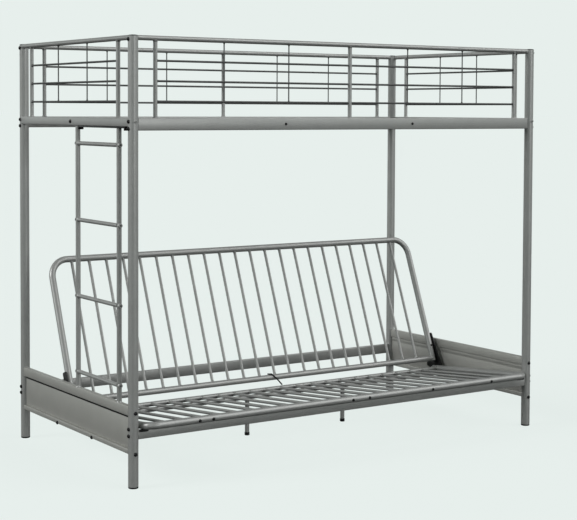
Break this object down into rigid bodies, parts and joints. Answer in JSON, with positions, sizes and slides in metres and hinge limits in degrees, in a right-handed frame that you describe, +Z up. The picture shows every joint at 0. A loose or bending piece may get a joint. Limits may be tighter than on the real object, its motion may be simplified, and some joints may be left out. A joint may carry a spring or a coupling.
{
  "type": "futon bunk bed",
  "caption": "Metal bunk bed: a guarded bed on round posts, with a ladder at one end, over a slatted sofa whose seat slides out while its back folds flat.",
  "frame": {"origin": "on the floor, under the middle of the whole outline", "axes": "+X along the bed, away from the ladder end; +Y from the sofa's open front to its rear; +Z up"},
  "size_m": [1.998, 1.0579, 1.67],
  "materials": {
    "frame_paint": "silver-grey metallic powder coat, satin",
    "panel_paint": "silver-grey metallic powder coat, satin",
    "black_steel": "black paint, satin",
    "black_plastic": "black moulded plastic",
    "glide_plastic": "off-white moulded plastic"
  },
  "bodies": {
    "bunk": {"post_front_left": "frame_paint", "post_front_right": "frame_paint", "post_rear_left": "frame_paint", "post_rear_right": "frame_paint", "post_cap_front_left": "black_plastic", "post_cap_front_right": "black_plastic", "post_cap_rear_left": "black_plastic", "post_cap_rear_right": "black_plastic", "post_foot_front_left": "black_plastic", "post_foot_front_right": "black_plastic", "post_foot_rear_left": "black_plastic", "post_foot_rear_right": "black_plastic", "upper_rail_front": "frame_paint", "upper_rail_rear": "frame_paint", "upper_end_rail_left": "frame_paint", "upper_end_rail_right": "frame_paint", "guard_front": "frame_paint", "guard_rear": "frame_paint", "guard_end_left": "frame_paint", "guard_end_right": "frame_paint", "deck_panel_left": "frame_paint", "deck_panel_middle": "frame_paint", "deck_panel_right": "frame_paint", "deck_support_left": "frame_paint", "deck_support_right": "frame_paint", "ladder_stile_front": "frame_paint", "ladder_stile_rear": "frame_paint", "ladder_rung_1": "frame_paint", "ladder_rung_2": "frame_paint", "ladder_rung_3": "frame_paint", "ladder_rung_4": "frame_paint", "ladder_top_strip": "black_steel", "end_panel_top_rail_left": "panel_paint", "end_panel_top_rail_right": "panel_paint", "end_panel_sheet_left": "panel_paint", "end_panel_sheet_right": "panel_paint", "end_panel_bottom_rail_left": "panel_paint", "end_panel_bottom_rail_right": "panel_paint", "lower_rail_front": "frame_paint", "lower_rail_rear": "frame_paint", "seat_pad_left": "black_plastic", "seat_pad_right": "black_plastic", "seat_track_left": "frame_paint", "seat_track_right": "frame_paint"},
    "seat": {"seat_frame": "frame_paint", "seat_support_tube": "frame_paint", "seat_leg_left": "frame_paint", "seat_leg_right": "frame_paint", "seat_leg_foot_left": "black_plastic", "seat_leg_foot_right": "black_plastic", "hinge_pin_left": "black_steel", "hinge_pin_right": "black_steel", "seat_glide_left": "glide_plastic", "seat_glide_right": "glide_plastic"},
    "back": {"back_frame": "frame_paint", "hinge_plate_left": "black_steel", "hinge_plate_right": "black_steel", "back_bolt_left": "black_steel", "back_bolt_right": "black_steel", "centre_link": "black_steel"}
  },
  "joints": [
    {"name": "seat_slide", "type": "slide", "parent": "bunk", "child": "seat", "axis": [0, -0.9952, 0.0976], "range_m": [0, 0.242]},
    {"name": "back_fold", "type": "hinge", "parent": "seat", "child": "back", "pos_m": [0, 0.10901, 0.17232], "axis": [-1, 0, 0], "range_deg": [0, 63.79]}
  ],
  "couplings": [
    {"joint": "back_fold", "follows": "seat_slide", "rad_per_m": 4.6}
  ]
}
